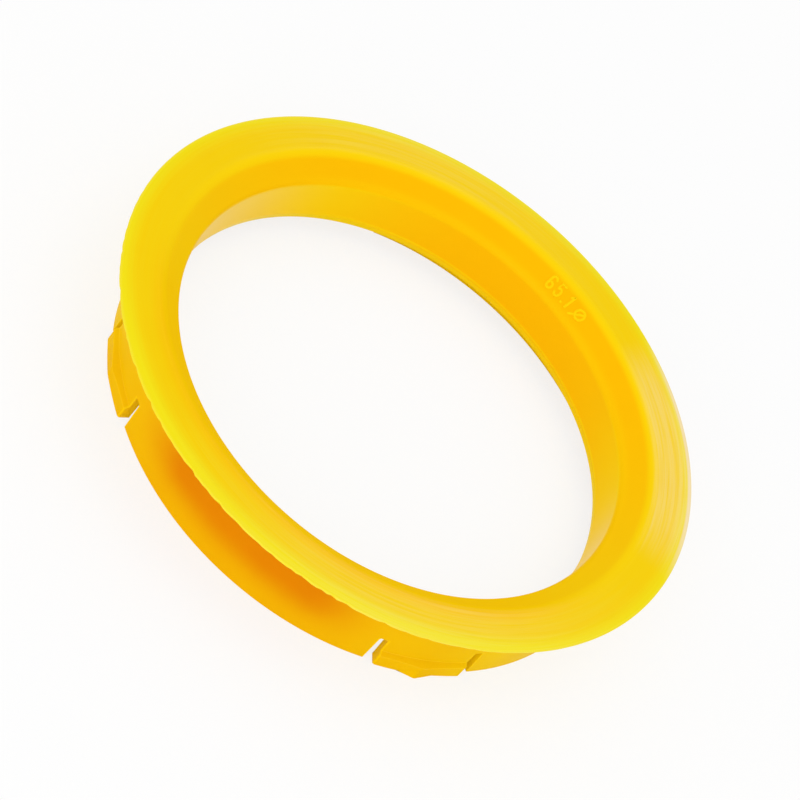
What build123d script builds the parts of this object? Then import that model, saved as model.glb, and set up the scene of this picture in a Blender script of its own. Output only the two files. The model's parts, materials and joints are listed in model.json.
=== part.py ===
from build123d import *

import os
from math import cos, degrees, radians, sin, tan

# A hub centric ring: a moulded plastic collar that centres a car wheel on a smaller hub.
# The sleeve's free end lies on the XY plane, the axis is +Z, and the flange is at the top.

# Bore that takes the hub's spigot, and the section measured outwards from it
bore_diameter = 65.1
ring_wall = 4.5
flange_width = 4.95
height = 13.4

# Lead-in cone from the flange face down to the bore
lead_in_width = 3.4
lead_in_depth = 2.85
lead_in_mouth_round = 2.2
lead_in_throat_round = 1.2

# Flange rim: a shallow bevel on the face, a thin edge, and a conical shoulder underneath
rim_bevel_width = 1.3
rim_bevel_drop = 0.15
rim_edge = 0.22
shoulder_angle = 45.0

# Two thin walls under the flange, with an open groove between them
skirt_wall = 1.1
skirt_end_chamfer = 0.12
land_wall = 1.3
land_setback = 2.95
land_chamfer_height = 1.15
land_chamfer_width = 0.25
crown_thickness = 4.0
groove_draft = 1.0
groove_chamfer = 0.4

# Snap tongues: stretches of the skirt between slits, two neighbours on each half of the ring
first_tongue_angle = 39.4
tongue_pair_angle = 91.1
tongue_width = 12.5
slit_mouth_width = 1.35
slit_root_width = 1.1
slit_depth = 4.5
slit_round = 0.2

# Barb on each tongue: two flat facets that meet in a ridge, with a catch above and a lead-in below
barb_height = 2.4
barb_end_proud = 0.6
barb_ridge_proud = 0.9
barb_corner_round = 0.7
catch_angle = 40.0
barb_lead_in = 0.25

# Stub of the moulding gate, at the foot of the last barb's ridge
gate_width = 8.2
gate_proud = 0.5
gate_tip_offset = 0.6
gate_height = 1.5
gate_taper = 17.0

# Radii and heights that follow from the sizes above
bore_radius = bore_diameter / 2
sleeve_radius = bore_radius + ring_wall
flange_radius = sleeve_radius + flange_width
mouth_radius = bore_radius + lead_in_width
skirt_inner_radius = sleeve_radius - skirt_wall
skirt_mid_radius = sleeve_radius - skirt_wall / 2
land_outer_radius = bore_radius + land_wall
throat_height = height - lead_in_depth
groove_roof = height - crown_thickness
skirt_draft = groove_roof * tan(radians(groove_draft))
land_draft = (groove_roof - land_setback) * tan(radians(groove_draft))
rim_top = height - rim_bevel_drop
rim_bottom = rim_top - rim_edge
shoulder_foot = rim_bottom - flange_width / tan(radians(shoulder_angle))

barb_end_radius = sleeve_radius + barb_end_proud
barb_ridge_radius = sleeve_radius + barb_ridge_proud
barb_tip_radius = max(barb_end_radius, barb_ridge_radius)
gate_radius = barb_ridge_radius + gate_proud
tongue_half_angle = degrees(tongue_width / 2 / sleeve_radius)
tongue_angles = [first_tongue_angle + turn for turn in (0, tongue_pair_angle, 180, 180 + tongue_pair_angle)]


def ray_point(radius, angle):
    """A point of a plan sketch, at a radius and an angle from the sketch's own X axis."""
    return (radius * cos(radians(angle)), radius * sin(radians(angle)))


def facing_out(angle, radius):
    """An upright plane that faces outwards at a radius, with its Y axis along the ring's axis."""
    outwards = Vector(*ray_point(1, angle), 0)
    along_rim = Vector(*ray_point(1, angle + 90), 0)
    return Plane(origin=outwards * radius, x_dir=along_rim, z_dir=outwards)


with BuildPart() as hub_centric_ring:
    # Turned body: one section for the flange, the land with its bore, the groove and the skirt
    with BuildSketch(Plane.XZ) as section:
        with BuildLine():
            Polyline(
                (bore_radius + land_chamfer_width, land_setback),
                (bore_radius, land_setback + land_chamfer_height),
                (bore_radius, throat_height),
                (mouth_radius, height),
                (flange_radius - rim_bevel_width, height),
                (flange_radius, rim_top),
                (flange_radius, rim_bottom),
                (sleeve_radius, shoulder_foot),
                (sleeve_radius, 0),
                (skirt_inner_radius, 0),
                (skirt_inner_radius - skirt_draft, groove_roof),
                (land_outer_radius + land_draft, groove_roof),
                (land_outer_radius, land_setback),
                close=True,
            )
        make_face()
        rounds = {
            (bore_radius, throat_height): lead_in_throat_round,
            (mouth_radius, height): lead_in_mouth_round,
        }
        for corner, radius in rounds.items():
            fillet(section.vertices().sort_by_distance(corner)[0], radius)
        bevels = {
            (sleeve_radius, 0): skirt_end_chamfer,
            (skirt_inner_radius, 0): skirt_end_chamfer,
            (skirt_inner_radius - skirt_draft, groove_roof): groove_chamfer,
            (land_outer_radius + land_draft, groove_roof): groove_chamfer,
        }
        for corner, length in bevels.items():
            chamfer(section.vertices().sort_by_distance(corner)[0], length)
    revolve(axis=Axis.Z)

    # Barbs: a pad on each tongue with two flat facets, seated in the middle of the skirt's wall
    with BuildSketch(*[Plane.XY.rotated((0, 0, angle)) for angle in tongue_angles]):
        with BuildLine():
            inner = CenterArc((0, 0), skirt_mid_radius, -tongue_half_angle, 2 * tongue_half_angle)
            FilletPolyline(
                inner @ 0,
                ray_point(barb_end_radius, -tongue_half_angle),
                (barb_ridge_radius, 0),
                ray_point(barb_end_radius, tongue_half_angle),
                inner @ 1,
                radius=barb_corner_round,
            )
        make_face()
    extrude(amount=barb_height)

    # Catch and lead-in: cones about the axis that slope the top and the foot of every barb
    catch_reach = barb_tip_radius - sleeve_radius
    with BuildSketch(Plane.XZ):
        with BuildLine():
            Polyline(
                (sleeve_radius, barb_height),
                (barb_tip_radius, barb_height),
                (barb_tip_radius, barb_height - catch_reach * tan(radians(catch_angle))),
                close=True,
            )
        make_face()
        with BuildLine():
            Polyline(
                (barb_tip_radius - barb_lead_in, 0),
                (barb_tip_radius, 0),
                (barb_tip_radius, barb_lead_in),
                close=True,
            )
        make_face()
    revolve(axis=Axis.Z, mode=Mode.SUBTRACT)

    # Gate stub: a small wedge at the foot of the last ridge, tapered away to the ridge at its top
    with BuildSketch(Plane.XY.rotated((0, 0, tongue_angles[-1]))):
        with BuildLine():
            Polyline(
                (skirt_mid_radius, -gate_width / 2),
                (sleeve_radius, -gate_width / 2),
                (gate_radius, -gate_tip_offset),
                (sleeve_radius, gate_width / 2),
                (skirt_mid_radius, gate_width / 2),
                close=True,
            )
        make_face()
    extrude(amount=gate_height, taper=gate_taper)

    # Slits: one each side of every tongue, open at the sleeve's end and narrower towards the root
    for angle in tongue_angles:
        for side in (-1, 1):
            slit_centre = angle + side * (tongue_half_angle + degrees(slit_mouth_width / 2 / sleeve_radius))
            with BuildSketch(facing_out(slit_centre, skirt_inner_radius - skirt_wall / 2)) as slit:
                with BuildLine():
                    Polyline(
                        (-slit_mouth_width / 2, 0),
                        (slit_mouth_width / 2, 0),
                        (slit_root_width / 2, slit_depth),
                        (-slit_root_width / 2, slit_depth),
                        close=True,
                    )
                make_face()
                fillet(slit.vertices().group_by(Axis.Y)[-1], slit_round)
            extrude(amount=2 * skirt_wall, mode=Mode.SUBTRACT)

hub_centric_ring.part.label = "hub_centric_ring"

os.makedirs("parts", exist_ok=True)
export_step(hub_centric_ring.part, "parts/hub_centric_ring.step")
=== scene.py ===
# %% [markdown]
# # A hub centric ring in yellow plastic
# A hub centric ring is a collar that fills the gap between a car's hub and a wheel whose centre hole is
# larger. It is one injection moulding: a flange with a coned mouth, a bored land for the hub, and a thin
# outer sleeve that is slit into snap tongues. The lesson models it as one closed mesh, the way the mould
# makes it, then gives it the satin yellow plastic, the floor, the lights and the camera.
#
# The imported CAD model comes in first. It fixes the frame and the sizes, so the new mesh is drawn to the
# radii that the frame gives and lands exactly where the solid is.

# %% Load the frame and read its sizes
import json
from collections import namedtuple
from contextlib import contextmanager
from itertools import pairwise
from math import atan2, cos, degrees, hypot, radians, sin, tan, tau

import bpy
from mathutils import Matrix, Vector, noise


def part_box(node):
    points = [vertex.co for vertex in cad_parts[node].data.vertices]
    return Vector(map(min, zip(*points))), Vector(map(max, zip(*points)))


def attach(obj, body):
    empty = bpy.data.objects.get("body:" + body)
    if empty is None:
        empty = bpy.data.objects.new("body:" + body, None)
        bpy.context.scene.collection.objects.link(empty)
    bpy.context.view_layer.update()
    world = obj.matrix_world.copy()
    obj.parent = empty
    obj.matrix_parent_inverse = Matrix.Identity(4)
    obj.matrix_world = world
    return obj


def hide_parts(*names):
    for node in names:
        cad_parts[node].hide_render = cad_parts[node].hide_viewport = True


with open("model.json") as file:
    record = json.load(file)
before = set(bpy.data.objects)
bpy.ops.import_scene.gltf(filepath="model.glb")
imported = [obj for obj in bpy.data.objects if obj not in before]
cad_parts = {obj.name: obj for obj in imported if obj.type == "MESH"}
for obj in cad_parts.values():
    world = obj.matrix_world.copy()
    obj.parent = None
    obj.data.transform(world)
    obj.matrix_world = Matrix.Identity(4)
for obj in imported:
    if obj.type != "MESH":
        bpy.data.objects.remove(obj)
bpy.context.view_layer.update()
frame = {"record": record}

MM = 0.001
NODE = "hub_centric_ring"
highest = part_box(NODE)[1]
mounts = {mount["name"]: mount for mount in frame["record"]["mounts"]}

flange_radius = highest.x
height = highest.z
bore_radius = mounts["hub_bore"]["dims"]["r_mm"] * MM
bore_number = f"{2 * bore_radius / MM:.1f}"
print(f"flange {2 * flange_radius / MM:.1f} mm across, bore {bore_number} mm, {height / MM:.1f} mm high")

# %% [markdown]
# ## Camera
# The camera comes first, because every later choice is judged through it. The view was found by fitting a
# pinhole camera to the circles of the flange, the bore and the sleeve. The ring stands upright in the
# frame while the picture shows it leaning, so it is the camera that is rolled: its forward and up directions
# are given outright, the right direction follows from them, and all three make the columns of its matrix.

# %% Camera at the fitted view
camera_place = Vector((0.75, -290.30, 266.39)) * MM
view_forward = Vector((0.0, 0.74632, -0.66558))
view_up = Vector((-0.64866, 0.50656, 0.56801))
lens_length = 134.6
film_width = 36.0

bpy.ops.object.select_all(action="DESELECT")
bpy.ops.object.camera_add()
camera = bpy.context.object
camera.name = "view_camera"
camera.data.lens = lens_length
camera.data.sensor_width = film_width
view_right = view_forward.cross(view_up)
view_axes = Matrix((view_right, view_up, -view_forward)).transposed()
camera.matrix_world = Matrix.Translation(camera_place) @ view_axes.to_4x4()
bpy.context.scene.camera = camera
print(f"camera {camera_place.length / MM:.0f} mm from the origin, {lens_length} mm lens")

# %% [markdown]
# ## Working by hand, in code
# An operator acts on whatever is selected, and the frame leaves its own objects selected. So one helper
# picks a single object, one opens it in edit mode, and two select its vertices by place and its faces by
# place and normal.

# %% Helpers that pick and select
@contextmanager
def editing(piece):
    """Opens one piece in edit mode, and closes it again."""
    pick(piece)
    bpy.ops.object.mode_set(mode="EDIT")
    bpy.ops.mesh.select_mode(type="VERT")
    yield
    bpy.ops.object.mode_set(mode="OBJECT")


def pick(*pieces):
    """Selects these objects alone and makes the first one active."""
    bpy.ops.object.select_all(action="DESELECT")
    for piece in pieces:
        piece.select_set(True)
    bpy.context.view_layer.objects.active = pieces[0]


def select_where(piece, test):
    """In edit mode, selects the vertices whose place passes the test."""
    bpy.ops.mesh.select_all(action="DESELECT")
    bpy.ops.object.mode_set(mode="OBJECT")
    for vertex in piece.data.vertices:
        vertex.select = test(vertex.co)
    bpy.ops.object.mode_set(mode="EDIT")


def select_faces_where(piece, test):
    """In edit mode, selects the faces that pass the test."""
    bpy.ops.mesh.select_mode(type="FACE")
    bpy.ops.mesh.select_all(action="DESELECT")
    bpy.ops.object.mode_set(mode="OBJECT")
    for face in piece.data.polygons:
        face.select = test(face)
    bpy.ops.object.mode_set(mode="EDIT")


def counts(piece):
    """How many vertices and faces a piece has, in words."""
    return f"{piece.name}: {len(piece.data.vertices)} vertices, {len(piece.data.polygons)} faces"


# %% [markdown]
# ## The turned body
# Flange, land, groove and sleeve have the same section all the way round, so the body is one outline spun
# about the axis. A stack of cylinders would need a join at every step, and a lathe of a loose curve would
# not close. The outline is drawn like a pencil line: a plane is merged to a single vertex, and that vertex
# is extruded from corner to corner.

# %% Sizes of the section
ring_wall = 4.5 * MM
lead_in_width = 3.4 * MM
lead_in_depth = 2.85 * MM
rim_bevel_width = 1.3 * MM
rim_bevel_drop = 0.15 * MM
rim_edge = 0.22 * MM
skirt_wall = 1.1 * MM
land_wall = 1.3 * MM
land_foot = 2.95 * MM
land_chamfer_height = 1.15 * MM
land_chamfer_width = 0.25 * MM
crown_thickness = 4.0 * MM
groove_draft = tan(radians(1.0))

sleeve_radius = bore_radius + ring_wall
mouth_radius = bore_radius + lead_in_width
throat_height = height - lead_in_depth
rim_line_radius = flange_radius - rim_bevel_width
rim_top = height - rim_bevel_drop
rim_bottom = rim_top - rim_edge
shoulder_foot = rim_bottom - (flange_radius - sleeve_radius)
skirt_inner_radius = sleeve_radius - skirt_wall
land_outer_radius = bore_radius + land_wall
land_chamfer_top = land_foot + land_chamfer_height
groove_roof = height - crown_thickness
print(f"sleeve {2 * sleeve_radius / MM:.1f} mm across, shoulder from {shoulder_foot / MM:.2f} mm up")


# %% Draw the section's outline
def at(radius, level):
    """A corner of the section, in the upright plane through the axis and +X."""
    return Vector((radius, 0, level))


def draw_chain(corners):
    """Draws an open chain of edges, one extruded corner after another."""
    bpy.ops.object.select_all(action="DESELECT")
    bpy.ops.mesh.primitive_plane_add(size=MM)
    chain = bpy.context.object
    with editing(chain):
        bpy.ops.mesh.select_all(action="SELECT")
        bpy.ops.mesh.merge(type="CENTER")
        bpy.ops.transform.translate(value=corners[0])
        for here, there in pairwise(corners):
            bpy.ops.mesh.extrude_vertices_move(TRANSFORM_OT_translate={"value": there - here})
    return chain


def draw_outline(name, corners):
    """Draws a closed flat outline and its face."""
    piece = draw_chain(corners)
    piece.name = piece.data.name = name
    with editing(piece):
        bpy.ops.mesh.select_all(action="SELECT")
        bpy.ops.mesh.edge_face_add()
    return piece


skirt_top_corner = at(skirt_inner_radius - groove_roof * groove_draft, groove_roof)
land_top_corner = at(land_outer_radius + (groove_roof - land_foot) * groove_draft, groove_roof)
ring = draw_outline(
    "moulded_ring",
    [
        at(bore_radius + land_chamfer_width, land_foot),
        at(bore_radius, land_chamfer_top),
        at(bore_radius, throat_height),
        at(mouth_radius, height),
        at(rim_line_radius, height),
        at(flange_radius, rim_top),
        at(flange_radius, rim_bottom),
        at(sleeve_radius, shoulder_foot),
        at(sleeve_radius, 0),
        at(skirt_inner_radius, 0),
        skirt_top_corner,
        land_top_corner,
        at(land_outer_radius, land_foot),
    ],
)
print(counts(ring))

# %% [markdown]
# A mould never leaves a knife edge, so the corners of the outline are rounded before it is spun. A vertex
# bevel does that on a flat outline: it starts the given length before the corner on both of its sides.

# %% Round the section's corners
SAME_PLACE = 0.001 * MM


def round_corner(piece, corner, start, segments):
    """Rounds one corner of an outline, from a length before it to the same length after it."""
    with editing(piece):
        select_where(piece, lambda place: (place - corner).length < SAME_PLACE)
        bpy.ops.mesh.bevel(offset=start, segments=segments, affect="VERTICES")


for corner, start, segments in [
    (at(bore_radius + land_chamfer_width, land_foot), 0.12 * MM, 2),
    (at(bore_radius, land_chamfer_top), 0.20 * MM, 2),
    (at(bore_radius, throat_height), 0.56 * MM, 7),
    (at(mouth_radius, height), 0.80 * MM, 8),
    (at(rim_line_radius, height), 0.20 * MM, 2),
    (at(flange_radius, rim_top), 0.10 * MM, 3),
    (at(flange_radius, rim_bottom), 0.06 * MM, 2),
    (at(sleeve_radius, shoulder_foot), 0.25 * MM, 3),
    (at(sleeve_radius, 0), 0.05 * MM, 3),
    (at(skirt_inner_radius, 0), 0.03 * MM, 3),
    (skirt_top_corner, 0.45 * MM, 4),
    (land_top_corner, 0.45 * MM, 4),
    (at(land_outer_radius, land_foot), 0.15 * MM, 2),
]:
    round_corner(ring, corner, start, segments)
print(counts(ring))

# %% [markdown]
# The spin sweeps the outline once round the axis. Its face is deleted first, so that no wall is left
# inside, and the seam is closed by merging what meets there. The columns are close enough together to show
# the uneven rim of the next step. The body is then turned by less than one column, so that no column runs
# along the side of a later slit, where slivers would crease the wall.

# %% Spin the section round the axis
columns = 360
clear_of_slits = 0.45
seam_gap = SAME_PLACE / 10


def spin_round(piece, steps):
    """Spins an outline once round the ring's axis into a closed skin that faces outwards."""
    with editing(piece):
        bpy.ops.mesh.select_all(action="SELECT")
        bpy.ops.mesh.delete(type="ONLY_FACE")
        bpy.ops.mesh.select_all(action="SELECT")
        bpy.ops.mesh.spin(steps=steps, angle=tau, center=(0, 0, 0), axis=(0, 0, 1))
        bpy.ops.mesh.select_all(action="SELECT")
        bpy.ops.mesh.remove_doubles(threshold=seam_gap)
        bpy.ops.mesh.normals_make_consistent(inside=False)


def turn(piece, angle):
    """Turns a piece about the ring's axis and puts the turn into its mesh."""
    pick(piece)
    piece.rotation_euler.z = radians(angle)
    bpy.ops.object.transform_apply(location=False, rotation=True, scale=False)


spin_round(ring, columns)
turn(ring, clear_of_slits)
print(counts(ring))

# %% [markdown]
# ## The ragged rim
# The two halves of the mould meet at the flange's rim, and a thin flash of plastic was trimmed there, so
# the edge is faintly scalloped instead of truly round, most of all along one stretch. Random single vertices
# would crumple it. Noise that depends only on the angle moves each column of the rim as one, and always
# inwards.

# %% Trim the rim unevenly
scallop_length = 0.5 * MM
scallop_depth = 0.50 * MM
wander_length = 4.0 * MM
wander_depth = 0.10 * MM
ragged_angle = radians(255)
rim_reach = 0.35 * MM
full_trim_share = 0.5


def flash_trim(angle):
    """How far inwards the trimmed flash stands at an angle."""
    on_rim = Vector((cos(angle), sin(angle), 0)) * flange_radius
    scallop = max(0, noise.noise(on_rim / scallop_length))
    wander = max(0, noise.noise(on_rim / wander_length))
    raggedness = max(0, cos(angle - ragged_angle)) ** 2
    return (scallop_depth * scallop + wander_depth * wander) * raggedness


moved = 0
for vertex in ring.data.vertices:
    radius = hypot(vertex.co.x, vertex.co.y)
    share = (radius - (flange_radius - rim_reach)) / rim_reach
    if share > 0:
        trim = flash_trim(atan2(vertex.co.y, vertex.co.x))
        trimmed = radius - min(share / full_trim_share, 1) * trim
        vertex.co.x *= trimmed / radius
        vertex.co.y *= trimmed / radius
        moved += 1
print(f"rim trimmed: {moved} vertices moved inwards")

# %% [markdown]
# ## The barbs
# Each tongue carries a barb that snaps behind the wheel's inner edge. Seen from below, it is a pad with two
# flat facets that meet in a ridge. It is drawn in plan on the X axis, its outer corners are rounded, and it
# is extruded to its height, a little wider than the tongue, so that the slits trim its ends. The slope on
# top, which the wheel catches on, and the lead-in at the foot are parts of cones about the ring's axis, so
# two spun outlines cut them.

# %% Draw one barb and raise it
barb_height = 2.4 * MM
barb_end_proud = 0.6 * MM
barb_ridge_proud = 0.9 * MM
barb_end_round = 0.55 * MM
barb_ridge_round = 0.3 * MM
tongue_width = 12.5 * MM
trim_width = 0.15 * MM
root_steps = 8

barb_end_radius = sleeve_radius + barb_end_proud
barb_ridge_radius = sleeve_radius + barb_ridge_proud
barb_root_radius = sleeve_radius - skirt_wall / 2
tongue_half_angle = degrees(tongue_width / 2 / sleeve_radius)
barb_half_angle = tongue_half_angle + degrees(trim_width / sleeve_radius)


def plan(radius, angle):
    """A corner of a plan outline, on the floor plane."""
    return Vector((radius * cos(radians(angle)), radius * sin(radians(angle)), 0))


def thicken_outline(piece, along):
    """Extrudes a flat outline along a vector into a closed block."""
    with editing(piece):
        bpy.ops.mesh.select_all(action="SELECT")
        bpy.ops.mesh.extrude_region_move(TRANSFORM_OT_translate={"value": along})
        bpy.ops.mesh.select_all(action="SELECT")
        bpy.ops.mesh.normals_make_consistent(inside=False)


root_shares = [1 - 2 * step / root_steps for step in range(root_steps + 1)]
root = [plan(barb_root_radius, barb_half_angle * share) for share in root_shares]
barb_ends = [plan(barb_end_radius, -barb_half_angle), plan(barb_end_radius, barb_half_angle)]
barb_ridge = plan(barb_ridge_radius, 0)
barb = draw_outline("barb", [*root, barb_ends[0], barb_ridge, barb_ends[1]])
for corner in barb_ends:
    round_corner(barb, corner, barb_end_round, 6)
round_corner(barb, barb_ridge, barb_ridge_round, 4)
thicken_outline(barb, Vector((0, 0, barb_height)))
print(counts(barb))


# %% Slope the barb's top and foot
def cut(piece, tool, operation="DIFFERENCE"):
    """Cuts a tool out of a piece, or joins it on, and removes the tool."""
    pick(piece)
    bpy.ops.object.modifier_add(type="BOOLEAN")
    modifier = piece.modifiers[-1]
    modifier.operation = operation
    modifier.solver = "EXACT"
    modifier.object = tool
    bpy.ops.object.modifier_apply(modifier=modifier.name)
    bpy.data.objects.remove(tool)


catch_angle = 40.0
lead_in = 0.36 * MM
clear = 0.5 * MM
past_barb = barb_ridge_radius + clear
catch_slope = tan(radians(catch_angle))
catch_cone = draw_outline(
    "catch_cone",
    [
        at(sleeve_radius - clear, barb_height + clear * catch_slope),
        at(past_barb, barb_height - (past_barb - sleeve_radius) * catch_slope),
        at(past_barb, barb_height + clear),
        at(sleeve_radius - clear, barb_height + clear),
    ],
)
foot_cone = draw_outline(
    "foot_cone",
    [
        at(barb_ridge_radius - lead_in - clear, -clear),
        at(past_barb, -clear),
        at(past_barb, lead_in + clear),
    ],
)
for cone in (catch_cone, foot_cone):
    spin_round(cone, columns)
    cut(barb, cone)
print(counts(barb))

# %% [markdown]
# What repeats is modelled once. The barb is copied to every tongue, each copy with a mesh of its own, and
# the copies are joined into one tool, so that a single union adds them all to the sleeve.

# %% Set a barb on every tongue
first_tongue = 39.4
tongue_pair = 91.1
tongue_angles = [first_tongue + turned for turned in (0, tongue_pair, 180, 180 + tongue_pair)]


def copies_at(piece, angles):
    """Copies a piece that was modelled on the X axis to every angle, as one joined object."""
    copies = []
    for angle in angles:
        pick(piece)
        bpy.ops.object.duplicate()
        copies.append(bpy.context.object)
        turn(copies[-1], angle)
    bpy.data.objects.remove(piece)
    pick(*copies)
    bpy.ops.object.join()
    return copies[0]


cut(ring, copies_at(barb, tongue_angles), "UNION")
print(counts(ring))

# %% [markdown]
# The plastic entered the mould through a gate at one barb, and a wedge-shaped stub of it was left there.
# It is a plan outline again, thickened, with its top pulled in about the root so that the stub tapers away
# into the barb's ridge.

# %% Leave the gate's stub on the last barb
gate_half_width = 4.1 * MM
gate_height = 1.5 * MM
gate_proud = 0.5 * MM
gate_tip_offset = 0.6 * MM
gate_tip_round = 0.25 * MM
gate_top_share = Vector((0.68, 0.65, 1))

gate_tip = Vector((barb_ridge_radius + gate_proud, -gate_tip_offset, 0))
gate_root = Vector((barb_root_radius, 0, gate_height))
gate = draw_outline(
    "gate_stub",
    [
        Vector((barb_root_radius, -gate_half_width, 0)),
        Vector((sleeve_radius, -gate_half_width, 0)),
        gate_tip,
        Vector((sleeve_radius, gate_half_width, 0)),
        Vector((barb_root_radius, gate_half_width, 0)),
    ],
)
round_corner(gate, gate_tip, gate_tip_round, 4)
thicken_outline(gate, Vector((0, 0, gate_height)))
with editing(gate):
    select_where(gate, lambda place: place.z > gate_height / 2)
    bpy.ops.transform.resize(value=gate_top_share, center_override=gate_root)
turn(gate, tongue_angles[-1])
cut(ring, gate, "UNION")
print(counts(ring))

# %% [markdown]
# ## The slits
# A slit on each side of a tongue lets it bend inwards. It is a little wider at its open end, so that the
# mould can draw out of it, and its two upper corners are rounded, because a sharp one would crack. The
# cutter is an upright outline thickened through the wall, and eight copies of it make one tool.

# %% Cut the slits beside the tongues
slit_mouth = 1.35 * MM
slit_root = 1.1 * MM
slit_depth = 4.5 * MM
slit_round = 0.2 * MM
slit_reach = 2.4 * MM
before_skirt = 0.6 * MM


def upright(across, level):
    """A corner of an outline that stands across the X axis, just inside the skirt."""
    return Vector((skirt_inner_radius - before_skirt, across, level))


slit_roof = [upright(slit_root / 2, slit_depth), upright(-slit_root / 2, slit_depth)]
slit = draw_outline(
    "slit",
    [
        upright(-slit_mouth / 2, -clear),
        upright(slit_mouth / 2, -clear),
        upright(slit_mouth / 2, 0),
        *slit_roof,
        upright(-slit_mouth / 2, 0),
    ],
)
for corner in slit_roof:
    round_corner(slit, corner, slit_round, 4)
thicken_outline(slit, Vector((slit_reach, 0, 0)))

slit_offset = tongue_half_angle + degrees(slit_mouth / 2 / sleeve_radius)
slit_angles = [angle + side * slit_offset for angle in tongue_angles for side in (-1, 1)]
cut(ring, copies_at(slit, slit_angles))
print(f"{len(slit_angles)} slits cut, {counts(ring)}")

# %% [markdown]
# ## Soft edges
# A crisp edge catches no light. Every edge that is still sharp gets a tiny round from a Bevel modifier with
# an angle limit, and those narrow faces take the second material, which is paler than the wall behind them
# as a painted highlight along the edges. What the rounds pushed below the foot is flattened back onto it,
# and faces that fold over or shrink to nothing on the way are merged. Weighted normals then keep the large
# faces flat up to the rounds.

# %% Round the sharp edges
edge_round = 0.07 * MM
edge_segments = 3
edge_slot = 1
sharp_angle = radians(46)

with editing(ring):
    bpy.ops.mesh.select_all(action="SELECT")
    bpy.ops.mesh.remove_doubles(threshold=SAME_PLACE)
    bpy.ops.mesh.delete_loose()
pick(ring)
bpy.ops.object.modifier_add(type="BEVEL")
rounding = ring.modifiers[-1]
rounding.width = edge_round
rounding.segments = edge_segments
rounding.limit_method = "ANGLE"
rounding.angle_limit = sharp_angle
rounding.material = edge_slot
rounding.use_clamp_overlap = False
rounding.miter_outer = "MITER_ARC"
for name in ("wall", "edge"):
    ring.data.materials.append(bpy.data.materials.new(name))
bpy.ops.object.modifier_apply(modifier=rounding.name)
print(counts(ring))

# %% Flatten the foot and merge what folded
sliver_width = 0.005 * MM

with editing(ring):
    select_where(ring, lambda place: place.z < 0)
    bpy.ops.transform.resize(value=(1, 1, 0), center_override=(0, 0, 0))
    select_faces_where(ring, lambda face: face.center.z < SAME_PLACE and face.normal.z > 0)
    bpy.ops.mesh.merge(type="COLLAPSE")
    bpy.ops.mesh.select_mode(type="VERT")
    bpy.ops.mesh.select_all(action="SELECT")
    bpy.ops.mesh.remove_doubles(threshold=sliver_width)
    bpy.ops.mesh.delete_loose(use_faces=True)
    bpy.ops.mesh.select_all(action="DESELECT")
    bpy.ops.mesh.select_non_manifold()
open_vertices = sum(vertex.select for vertex in ring.data.vertices)
print(f"{counts(ring)}, {open_vertices} vertices on open edges")

# %% Shade the faces smooth up to the rounds
crease_angle = radians(40)

pick(ring)
bpy.ops.object.shade_smooth_by_angle(angle=crease_angle)
bpy.ops.object.modifier_add(type="WEIGHTED_NORMAL")
weighting = ring.modifiers[-1]
weighting.keep_sharp = True
bpy.ops.object.modifier_apply(modifier=weighting.name)
print(f"creases kept above {degrees(crease_angle):.0f} degrees")

# %% [markdown]
# ## The size mark
# Rings of this kind are told apart by their bore, so the mould presses that size into the lead-in cone as
# low raised strokes. Here it is a plain number, read from the frame's own bore, with the diameter sign
# after it. A font would bring its own style, so each sign is drawn as a few strokes: chains of vertices
# that become a curve with a round section, half sunk in the cone, with both ends led down into it.

# %% Draw the signs as strokes
stroke_width = 0.48 * MM
stroke_proud = 0.16 * MM
sign_height = 1.92 * MM
lead_length = stroke_width * 0.4
lead_drop = Vector((0, 0, stroke_width * 0.6))


def arc(centre, radii, start, end, steps=12):
    """Points along an elliptical arc, from one angle to another."""
    (middle_x, middle_y), (radius_x, radius_y) = centre, radii
    angles = [radians(start + (end - start) * step / steps) for step in range(steps + 1)]
    return [(middle_x + radius_x * cos(angle), middle_y + radius_y * sin(angle)) for angle in angles]


SIGNS = {
    "6": [arc((0, 0.27), (0.21, 0.23), 20, 180) + arc((0, -0.25), (0.21, 0.25), 180, 540, 24)],
    "5": [[(0.20, 0.5), (-0.17, 0.5), (-0.19, 0.06)] + arc((0, -0.18), (0.22, 0.32), 130, -150, 16)],
    ".": [[(0, -0.50), (0, -0.46)]],
    "1": [[(-0.17, 0.33), (-0.02, 0.48)], [(0, 0.5), (0, -0.5)]],
    "diameter": [arc((0, 0), (0.38, 0.38), 0, 360, 24), [(-0.62, -0.58), (0.27, 0.27)]],
}


def lead_down(end, before):
    """A point past a stroke's end, on and down, that leads the stroke into the cone."""
    return end + (end - before).normalized() * lead_length - lead_drop


def draw_sign(name):
    """Draws one sign flat at the origin, as round strokes made into a mesh."""
    chains = []
    for points in SIGNS[name]:
        corners = [Vector((x, y, 0)) * sign_height for x, y in points]
        if (corners[0] - corners[-1]).length > SAME_PLACE:
            corners = [lead_down(*corners[:2]), *corners, lead_down(*corners[:-3:-1])]
        chain = draw_chain(corners)
        with editing(chain):
            bpy.ops.mesh.select_all(action="SELECT")
            bpy.ops.mesh.remove_doubles(threshold=SAME_PLACE)
        chains.append(chain)
    pick(*chains)
    bpy.ops.object.join()
    bpy.ops.object.convert(target="CURVE")
    sign = bpy.context.object
    sign.data.bevel_depth = stroke_width / 2
    sign.data.bevel_resolution = 3
    sign.data.use_fill_caps = True
    bpy.ops.object.convert(target="MESH")
    return bpy.context.object


# %% Set the signs on the cone
mark_start = 79.7
sign_steps = {"6": 2.6, "5": 2.2, ".": 1.55, "1": 3.75, "diameter": 0}
mark_offset = 1.78 * MM
mark_radius = bore_radius + mark_offset
cone_out = Vector((mouth_radius - bore_radius, 0, height - throat_height)).normalized()


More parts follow.
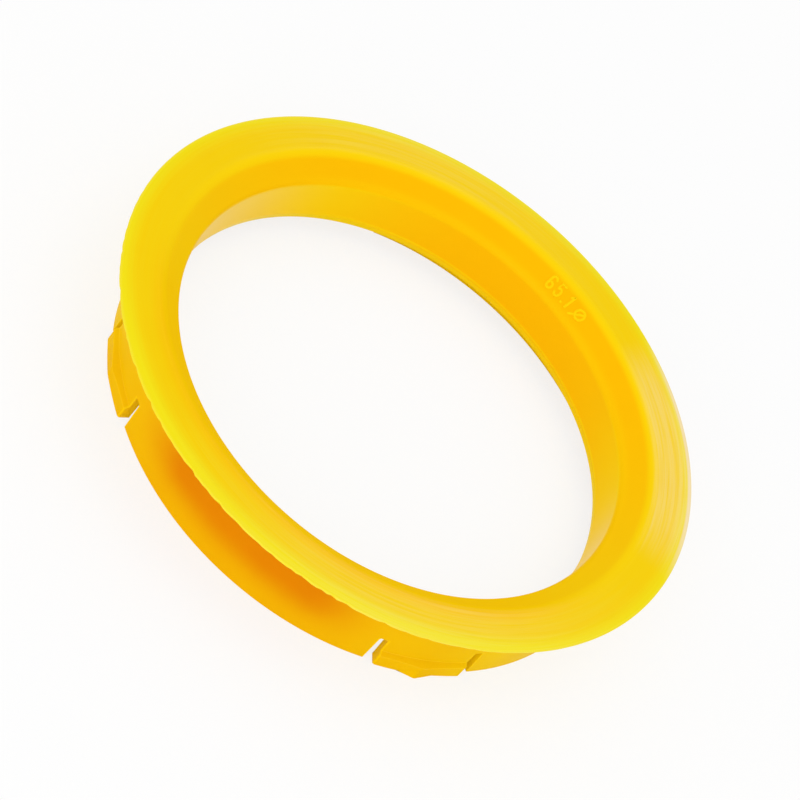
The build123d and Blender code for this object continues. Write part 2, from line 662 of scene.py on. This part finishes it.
def onto_cone(angle):
    """The place on the cone at an angle: right runs clockwise, up runs along the cone to the flange."""
    outwards = Vector((cos(radians(angle)), sin(radians(angle)), 0))
    up = outwards * cone_out.x + Vector((0, 0, cone_out.z))
    right = Vector((outwards.y, -outwards.x, 0))
    facing = right.cross(up)
    level = throat_height + mark_offset * cone_out.z / cone_out.x
    sunk = stroke_proud - stroke_width / 2
    place = outwards * mark_radius + Vector((0, 0, level)) + facing * sunk
    return Matrix.Translation(place) @ Matrix((right, up, facing)).transposed().to_4x4()


signs = []
angle = mark_start
for name in [*bore_number, "diameter"]:
    sign = draw_sign(name)
    sign.matrix_world = onto_cone(angle)
    bpy.ops.object.transform_apply(location=True, rotation=True, scale=False)
    angle -= sign_steps[name]
    signs.append(sign)
pick(*signs)
bpy.ops.object.join()
mark = bpy.context.object
mark.name = mark.data.name = "size_mark"
bpy.ops.object.shade_smooth_by_angle(angle=crease_angle)
print(f"mark {bore_number} with a diameter sign, {counts(mark)}")

# %% [markdown]
# ## Shader maths
# A material is a small calculation at every point of the surface. One class wraps a socket, so that
# an expression such as 1 - mask adds its Math nodes by itself, and one method adds any other node.

# %% A socket that can be calculated with
class Signal:
    """A value that changes over a surface: one output socket of a node tree."""

    def __init__(self, tree, socket=None):
        self.tree = tree
        self.socket = socket

    def node(self, kind, settings=None, inputs=None, output=0):
        """Adds a node, sets it up, feeds its inputs with values or signals, and gives one of its outputs."""
        made = self.tree.nodes.new(kind)
        for name, value in (settings or {}).items():
            setattr(made, name, value)
        for name, value in (inputs or {}).items():
            if isinstance(value, Signal):
                self.tree.links.new(value.socket, made.inputs[name])
            else:
                made.inputs[name].default_value = value
        return Signal(self.tree, made.outputs[output] if len(made.outputs) else None)

    def math(self, operation, *values):
        """Adds a Math node that works on values or signals."""
        return self.node("ShaderNodeMath", {"operation": operation}, dict(enumerate(values)))

    def __add__(self, other):
        return self.math("ADD", self, other)

    def __sub__(self, other):
        return self.math("SUBTRACT", self, other)

    def __rsub__(self, other):
        return self.math("SUBTRACT", other, self)

    def __mul__(self, other):
        return self.math("MULTIPLY", self, other)

    def __truediv__(self, other):
        return self.math("DIVIDE", self, other)

    __radd__ = __add__

    def root(self):
        """The square root."""
        return self.math("SQRT", self)

    def power(self, exponent):
        """The signal raised to a power."""
        return self.math("POWER", self, exponent)

    def larger(self, other):
        """The larger of two signals."""
        return self.math("MAXIMUM", self, other)

    def rise(self, start, end):
        """A soft step: 0 before the start, 1 after the end."""
        limits = {"Value": self, "From Min": start, "From Max": end}
        return self.node("ShaderNodeMapRange", {"interpolation_type": "SMOOTHSTEP"}, limits)

    def blend(self, below, above):
        """A colour: the first where this signal is 0, the second where it is 1."""
        return self.node("ShaderNodeMix", {"data_type": "RGBA"}, {0: self, 6: below, 7: above}, 2)

    def grain(self, scale, detail=2.0, roughness=0.5):
        """Noise around 0.5 over this signal's vector."""
        inputs = {"Vector": self, "Scale": scale, "Detail": detail, "Roughness": roughness}
        return self.node("ShaderNodeTexNoise", None, inputs)

    def limited(self):
        """The signal kept between 0 and 1."""
        return self.node("ShaderNodeClamp", None, {"Value": self})

    def vector(self, x, y, z):
        """Three values as one vector."""
        return self.node("ShaderNodeCombineXYZ", None, {0: x, 1: y, 2: z})


print("signals: + - * / root power larger rise blend grain limited vector")

# %% [markdown]
# ## The yellow plastic
# The ring is a satin yellow plastic whose tone shifts with its place. It turns lemon along the rim, where it
# is thin, and painted light makes it paler still in front and at the land's foot. Painted shade turns the
# sleeve orange, high up between the tongues in front and behind, and the hole's walls amber on their far
# side. Painted highlights run along the mouth, the throat and the chamfer and at the ends of the bore, and
# painted light brightens the shaded slits and the skirt's foot; a painted glint pales the rim at one angle.
# Painting each face would leave hard borders, so soft masks of radius, level and angle mix a few tones. The
# flange was faced in fine concentric lines, and a painted sheen raises their coat in two opposite fans and
# one glint. Noise that is squeezed along the radius and drawn out along the circle draws the lines.

# %% Where a point lies on the ring
def places(start):
    """The place itself, the radius and level in millimetres, and the two parts of the direction."""
    place = start.node("ShaderNodeTexCoord", None, None, "Object")
    x, y, z = (start.node("ShaderNodeSeparateXYZ", None, {0: place}, axis) for axis in range(3))
    radius = (x * x + y * y).root()
    return place, radius / MM, z / MM, x / radius, y / radius


def new_material(name):
    """Makes an empty material and gives it with its tree, ready for the first node."""
    material = bpy.data.materials.new(name)
    material.use_nodes = True
    material.node_tree.nodes.clear()
    return material, Signal(material.node_tree)


# %% Masks over the plastic
middle_angle = sum(tongue_angles[:2]) / 2
shade_angle = 80
slit_margin = 0.2
slit_blur = 0.001
slit_inner = cos(radians(tongue_half_angle - slit_margin)) ** 2
slit_outer = cos(radians(2 * slit_offset - tongue_half_angle + slit_margin)) ** 2


def towards(across, along, angle):
    """How far a point's direction agrees with an angle round the ring, from -1 to 1."""
    return across * cos(radians(angle)) + along * sin(radians(angle))


def near_tongue(across, along):
    """1 at the middle of a tongue, falling with the squared cosine of the angle away from it."""
    first, second = (towards(across, along, angle).power(2.0) for angle in tongue_angles[:2])
    return first.larger(second)


def on_shaded_side(across, along):
    """How far a point lies towards the shaded side of the hole, from -1 to 1."""
    return towards(across, along, shade_angle)


def front_edge(radius, level, along):
    """1 along the flange's inner edge in front, where the cone is seen almost edge on."""
    above_throat = level.rise(10.0, 11.0)
    on_flange = radius.rise(36.4, 38.6)
    in_front = (0 - along).rise(0.2, 0.7)
    return above_throat * (1 - on_flange) * in_front


def inner_places(radius, level, along):
    """Painted shade: 1 inside the ring towards its far side, and a share along the flange's inner edge in
    front.
    """
    hole = (1 - radius.rise(35.0, 36.2)) * along.rise(-0.8, 1.0)
    edge_share = 0.35 + radius.rise(35.8, 36.6) * 0.2
    return hole + front_edge(radius, level, along) * edge_share


def painted_shade_places(radius, level, across, along):
    """Painted shade on the sleeve, in front and behind: 1 high up between two tongues, less low down and
    near them.
    """
    sleeve = radius.rise(36.2, 36.8) * (1 - level.rise(8.5, 12.5))
    paired = towards(across, along, middle_angle).power(2.0).rise(0.2, 0.5)
    between = 1 - near_tongue(across, along).rise(0.76, 1.0)
    high_up = level.rise(0.5, 6.5)
    return sleeve * (0.25 + between * (0.15 + high_up * 0.6)) * paired


def slit_walls(radius, level, across, along):
    """1 in the slits beside the tongues, up to their roofs."""
    sector = near_tongue(across, along)
    beside_tongue = sector.rise(slit_outer - slit_blur, slit_outer)
    on_tongue = sector.rise(slit_inner, slit_inner + slit_blur)
    in_skirt = radius.rise(35.6, 35.9)
    above_roof = level.rise(4.5, 4.7)
    return beside_tongue * (1 - on_tongue) * in_skirt * (1 - above_roof)


def bore_ends(radius, level, across, along):
    """1 on the bore where the eye runs along it, at both ends of the stretch that shows."""
    bore = (1 - level.rise(10.0, 10.5)) * (1 - radius.rise(33.0, 33.5))
    far_half = along.rise(-0.4, 0.1)
    return bore * far_half * (1 - on_shaded_side(across, along).rise(0.4, 1.05))


def painted_light_places(radius, level, across, along):
    """Painted light: highlights on the mouth, throat, chamfer and bore ends, and lighter slits and skirt
    foot.
    """
    mouth = level.rise(12.4, 13.0) * radius.rise(34.9, 35.8) * (1 - radius.rise(36.1, 37.2))
    throat = level.rise(9.6, 10.5) * (1 - level.rise(10.5, 11.6)) * (1 - radius.rise(34.5, 35.0))
    throat = throat * on_shaded_side(across, along).rise(0.1, 0.7)
    chamfer = level.rise(3.9, 4.15) * (1 - level.rise(4.2, 4.5)) * (1 - radius.rise(33.0, 33.2))
    skirt_foot = (1 - level.rise(0.6, 1.6)) * (1 - radius.rise(36.0, 36.3))
    edges = mouth * along.rise(-0.6, 0.3) * 0.6 + throat * 0.35 + chamfer * 0.7
    walls = bore_ends(radius, level, across, along) + slit_walls(radius, level, across, along) * 0.5
    return edges + skirt_foot + walls


def thin_and_lit_places(radius, level, along):
    """1 along the thin rim, with painted light added in front of it and at the land's foot."""
    on_top = level.rise(12.4, 12.9)
    rim = on_top * radius.rise(39.4, 42.0)
    front = on_top * radius.rise(38.6, 40.4) * (0 - along).rise(0.4, 0.8)
    foot = (1 - level.rise(3.8, 4.0)) * (1 - radius.rise(33.0, 33.6))
    return rim * 0.9 + front * 0.35 + foot * 0.5


# %% The plastic, from its colour to its polish
# The tones: face, inside and sleeve as painted shade, bright as painted light, thin for the rim with painted
# light, glint as a painted highlight.
Tones = namedtuple("Tones", "face inside sleeve bright thin glint")
fan_angle = 119
glint_angle = 30
lines_round = 2
lines_per_mm = 2.5
cloud_scale = 160.0
grain_scale = 5200.0
bump_strength = 0.35
bump_depth = 0.04 * MM


def plastic(name, tones, polish):
    """The ring's plastic: tones by place with painted shade and light, and the faced lines' polish with a
    painted sheen.
    """
    material, start = new_material(name)
    place, radius, level, across, along = places(start)
    face = level.rise(12.8, 13.2) * radius.rise(35.7, 36.9)
    drawn_out = start.vector(across * lines_round, along * lines_round, radius * lines_per_mm)
    lines = drawn_out.grain(1.0, detail=4.0, roughness=0.65)
    cloud = place.grain(cloud_scale)
    grain = place.grain(grain_scale)
    streak = (lines - 0.5) * face

    # Painted shade: orange on the sleeve and amber in the hole. Painted light: the bright tone, and the
    # lemon in front and at the land's foot.
    painted_shade = painted_shade_places(radius, level, across, along) + (cloud - 0.5) * 0.15
    thin_and_lit = thin_and_lit_places(radius, level, along) + streak * 0.5
    colour = inner_places(radius, level, along).limited().blend(tones.face, tones.inside)
    colour = painted_shade.limited().blend(colour, tones.sleeve)
    colour = painted_light_places(radius, level, across, along).limited().blend(colour, tones.bright)
    colour = thin_and_lit.limited().blend(colour, tones.thin)

    # A painted highlight: the rim turns pale cream round one angle, as a glint.
    glint = towards(across, along, glint_angle).rise(0.86, 0.985)
    colour = (glint * radius.rise(41.2, 41.5)).blend(colour, tones.glint)

    # A painted sheen: the coat is raised in two opposite fans and one glint, set by the angle round the
    # ring.
    behind = towards(across, along, fan_angle)
    fan = behind.power(6.0) * (0.28 - behind * 0.05)
    shine = face * (0.015 + fan + glint * 0.75) * (0.3 + lines.rise(0.3, 0.7) * 1.3)
    pale_rim = radius.rise(41.6, 41.9) * 0.17
    # A painted sheen: the coat is raised on the lit ends of the bore.
    lit_ends = 1 - on_shaded_side(across, along).rise(0.1, 0.6)
    pale_ends = bore_ends(radius, level, across, along) * lit_ends * 0.3
    matt_edge = front_edge(radius, level, along) * (1 - radius.rise(36.0, 36.8))

    relief = streak * 0.6 + (grain - 0.5) * 0.25
    bump_inputs = {"Strength": bump_strength, "Distance": bump_depth, "Height": relief}
    bump = start.node("ShaderNodeBump", None, bump_inputs)
    surface = start.node(
        "ShaderNodeBsdfPrincipled",
        None,
        {
            "Base Color": colour,
            "Roughness": 0.35 + matt_edge * 0.6,
            "IOR": 1.06,
            "Coat Weight": (shine + polish + pale_rim + pale_ends).limited(),
            "Coat Roughness": 0.3,
            "Coat IOR": 2.0,
            "Normal": bump,
        },
    )
    start.node("ShaderNodeOutputMaterial", None, {"Surface": surface})
    return material


# %% Paint the walls, the edges and the mark
# The amber and the orange are painted shade; the bright yellow and the pale cream are painted highlights.
YELLOW = (0.95, 0.64, 0.002, 1)
SHADE_AMBER = (0.99, 0.52, 0.0008, 1)
SHADE_ORANGE = (0.77, 0.245, 0.0005, 1)
HIGHLIGHT_YELLOW = (1.0, 0.69, 0.003, 1)
SUNNY_YELLOW = (1.0, 0.67, 0.003, 1)
LEMON = (0.92, 0.77, 0.008, 1)
CREAM = (0.95, 0.78, 0.09, 1)
GLINT_CREAM = (0.94, 0.74, 0.34, 1)

wall_tones = Tones(YELLOW, SHADE_AMBER, SHADE_ORANGE, HIGHLIGHT_YELLOW, LEMON, GLINT_CREAM)
# The edge plastic is paler than the walls: a painted highlight along the rounded edges.
edge_tones = Tones(HIGHLIGHT_YELLOW, HIGHLIGHT_YELLOW, SHADE_ORANGE, HIGHLIGHT_YELLOW, CREAM, CREAM)
mark_tones = Tones(*[SUNNY_YELLOW] * len(Tones._fields))
wall_plastic = plastic("satin_yellow_plastic", wall_tones, polish=0.0)
edge_plastic = plastic("edge_highlight_plastic", edge_tones, polish=0.05)
mark_plastic = plastic("mark_plastic", mark_tones, polish=0.0)
for index, material in enumerate((wall_plastic, edge_plastic)):
    ring.data.materials[index] = material
mark.data.materials.append(mark_plastic)
print(f"materials: {wall_plastic.name}, {edge_plastic.name}, {mark_plastic.name}")

# %% [markdown]
# ## Joining the frame
# Each piece is attached to the body it moves with, and the CAD part that it replaces is hidden. The ring has
# no joints, so everything rides on the one root body.

# %% Ride on the frame
for piece in (ring, mark):
    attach(piece, "root")
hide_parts(NODE)
print(f"{ring.name} stands for {NODE}")

# %% [markdown]
# ## Floor and light
# The ring was photographed on white under large soft lights. The floor shows white to the camera and to
# reflections through Light Path, and keeps a share of its own shading, so that a faint shadow grounds the
# ring. The lamps stay at a plain level, where the plastic renders about as its colour is written.

# %% A pale floor that keeps the shadow
floor_size = 6.0
floor_white = (0.97, 0.97, 0.97, 1)
pure_white = (1, 1, 1, 1)
shadow_share = 0.2


def seen(start):
    """1 for rays from the camera, a reflection or glass, and 0 for the light that falls on things."""
    kinds = ("Is Camera Ray", "Is Glossy Ray", "Is Transmission Ray")
    rays = [start.node("ShaderNodeLightPath", None, None, kind) for kind in kinds]
    return rays[0].larger(rays[1]).larger(rays[2])


bpy.ops.object.select_all(action="DESELECT")
bpy.ops.mesh.primitive_plane_add(size=floor_size)
floor = bpy.context.object
floor.name = "floor"
floor_paint, start = new_material("white_floor")
lit = start.node("ShaderNodeBsdfDiffuse", None, {"Color": floor_white})
white = start.node("ShaderNodeEmission", None, {"Color": pure_white, "Strength": 1.0})
shown = start.node("ShaderNodeMixShader", None, {0: seen(start) * (1 - shadow_share), 1: lit, 2: white})
start.node("ShaderNodeOutputMaterial", None, {"Surface": shown})
floor.data.materials.append(floor_paint)
print(f"floor {floor_size} m, {shadow_share:.0%} of its shading kept")

# %% White surroundings and soft lamps
world_level = 0.84
lamp_distance = 0.6

world = bpy.data.worlds.new("white_studio")
bpy.context.scene.world = world
world.use_nodes = True
world.node_tree.nodes.clear()
start = Signal(world.node_tree)
brightness = world_level + seen(start) * (1 - world_level)
surroundings = start.node("ShaderNodeBackground", None, {"Color": pure_white, "Strength": brightness})
start.node("ShaderNodeOutputWorld", None, {"Surface": surroundings})


def soft_lamp(name, direction, size, power):
    """A square lamp that shines on the ring from a direction."""
    bpy.ops.object.select_all(action="DESELECT")
    bpy.ops.object.light_add(type="AREA")
    lamp = bpy.context.object
    lamp.name = name
    lamp.data.size = size
    lamp.data.energy = power
    away = Vector(direction).normalized()
    lamp.location = away * lamp_distance + Vector((0, 0, height))
    lamp.rotation_euler = away.to_track_quat("Z", "Y").to_euler()
    return lamp


lamps = [
    soft_lamp("key_lamp", (0.2, 0.0, 0.98), 0.35, 0.3),
    soft_lamp("front_lamp", (-0.1, -0.9, 0.3), 0.40, 0.75),
]
print(f"lamps: {', '.join(lamp.name for lamp in lamps)}")

# %% [markdown]
# ## Closing
# The last cell sets the plain view transform.

# %% Set the plain view transform
bpy.context.scene.view_settings.view_transform = "Standard"
